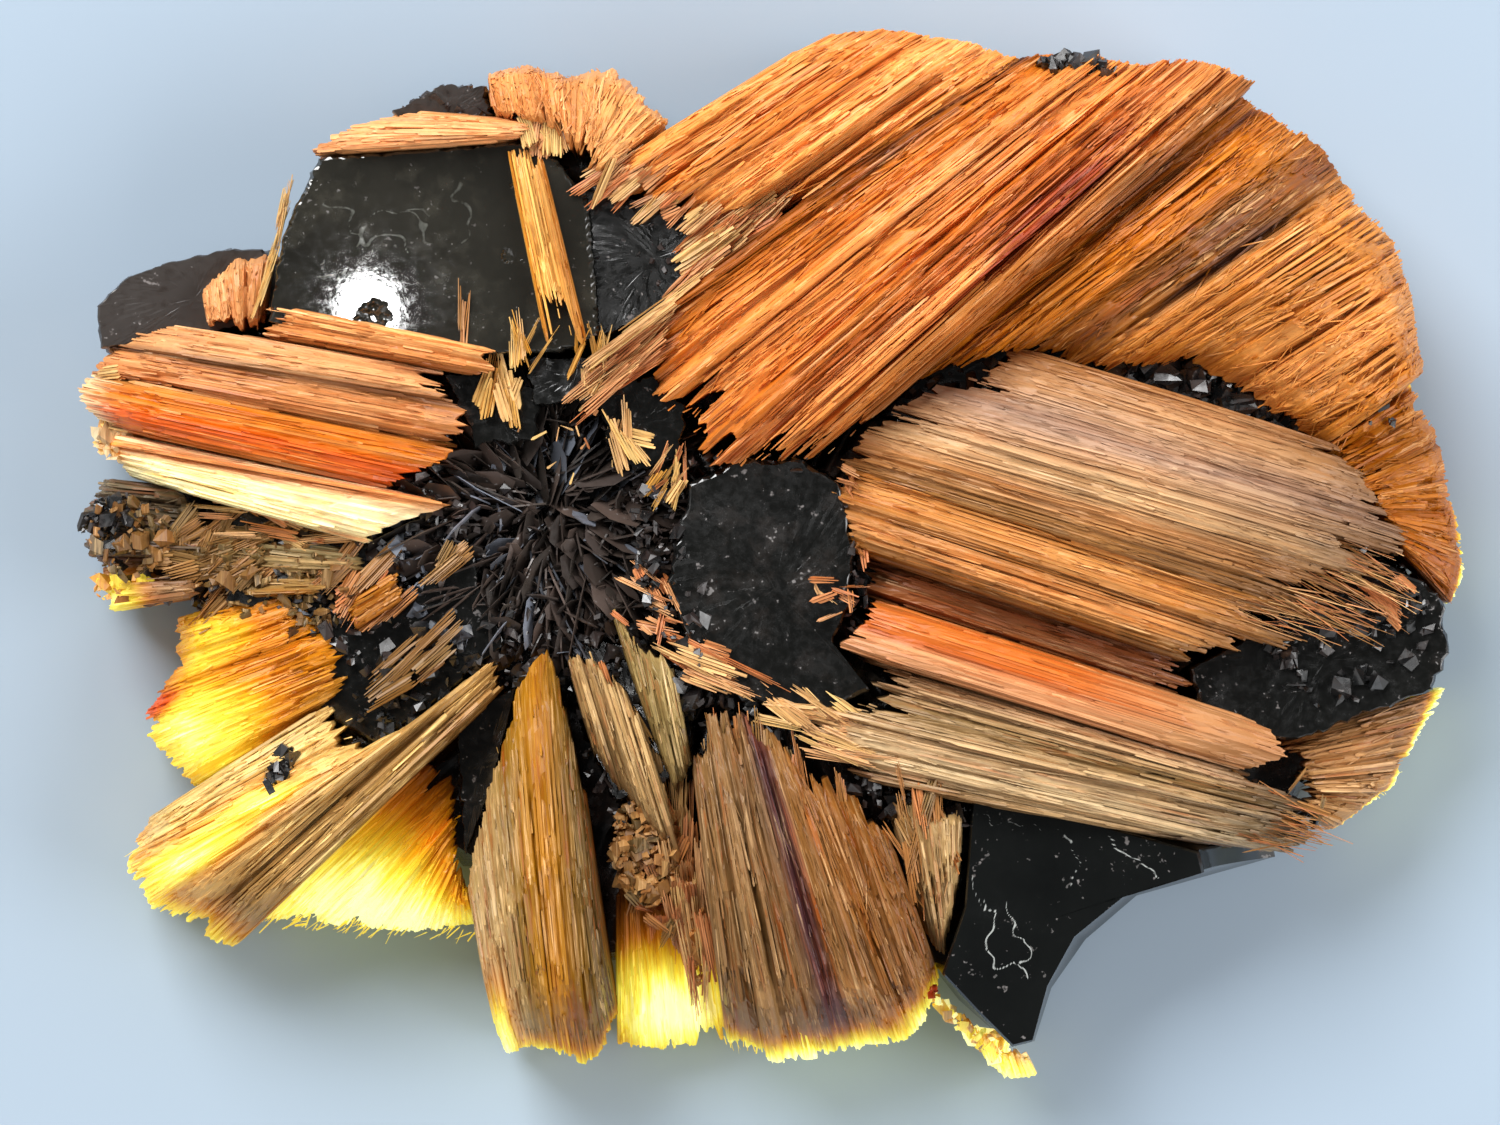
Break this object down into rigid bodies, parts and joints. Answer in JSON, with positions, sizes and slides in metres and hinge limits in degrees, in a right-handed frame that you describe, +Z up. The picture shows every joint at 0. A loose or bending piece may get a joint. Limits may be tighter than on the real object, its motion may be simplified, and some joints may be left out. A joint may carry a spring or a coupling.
{
  "type": "rutile and hematite specimen",
  "caption": "Star of golden rutile needle sheaves growing out of a black tabular hematite crystal, lying flat on its broken back.",
  "frame": {"origin": "middle of the bounding box in plan, on the flat underside of the hematite", "axes": "+X to the right and +Y to the top of the specimen's best face, +Z up out of that face"},
  "size_m": [0.0555, 0.042, 0.0133],
  "materials": {
    "hematite": "gloss",
    "rutile_orange": "satin",
    "rutile_amber": "satin",
    "rutile_straw": "satin",
    "rutile_olive": "satin",
    "rutile_golden": "satin"
  },
  "bodies": {
    "root": {"hematite_mass": "hematite", "rutile_blade_left_broken_lower": "rutile_amber", "rutile_blade_left_broken_upper": "rutile_olive", "rutile_blade_left_orange": "rutile_orange", "rutile_blade_lower_middle": "rutile_olive", "rutile_blade_lower_pointed": "rutile_olive", "rutile_blade_lower_short": "rutile_straw", "rutile_blade_plate_edge": "rutile_amber", "rutile_collar_left": "rutile_straw", "rutile_knob_left": "rutile_golden", "rutile_knob_lower_tip": "rutile_golden", "rutile_mass_lower_right": "rutile_straw", "rutile_mass_right_edge": "rutile_amber", "rutile_needles_on_plate": "rutile_golden", "rutile_prism_right_orange": "rutile_orange", "rutile_rim_upper_left": "rutile_straw", "rutile_sheaf_left_lower": "rutile_straw", "rutile_sheaf_left_upper": "rutile_amber", "rutile_sheaf_lower_centre": "rutile_olive", "rutile_sheaf_lower_left_inner": "rutile_olive", "rutile_sheaf_lower_left_outer": "rutile_golden", "rutile_sheaf_lower_left_under": "rutile_golden", "rutile_sheaf_right_lower": "rutile_straw", "rutile_sheaf_right_middle": "rutile_amber", "rutile_sheaf_right_upper": "rutile_straw", "rutile_sheaf_upper_right_back": "rutile_orange", "rutile_sheaf_upper_right_front": "rutile_orange", "rutile_sheaf_upper_right_top": "rutile_amber", "rutile_slab_lower_gap": "rutile_golden", "rutile_strip_right_recess": "rutile_amber", "rutile_tuft_lower_right": "rutile_straw", "rutile_tuft_top": "rutile_straw"}
  },
  "joints": []
}
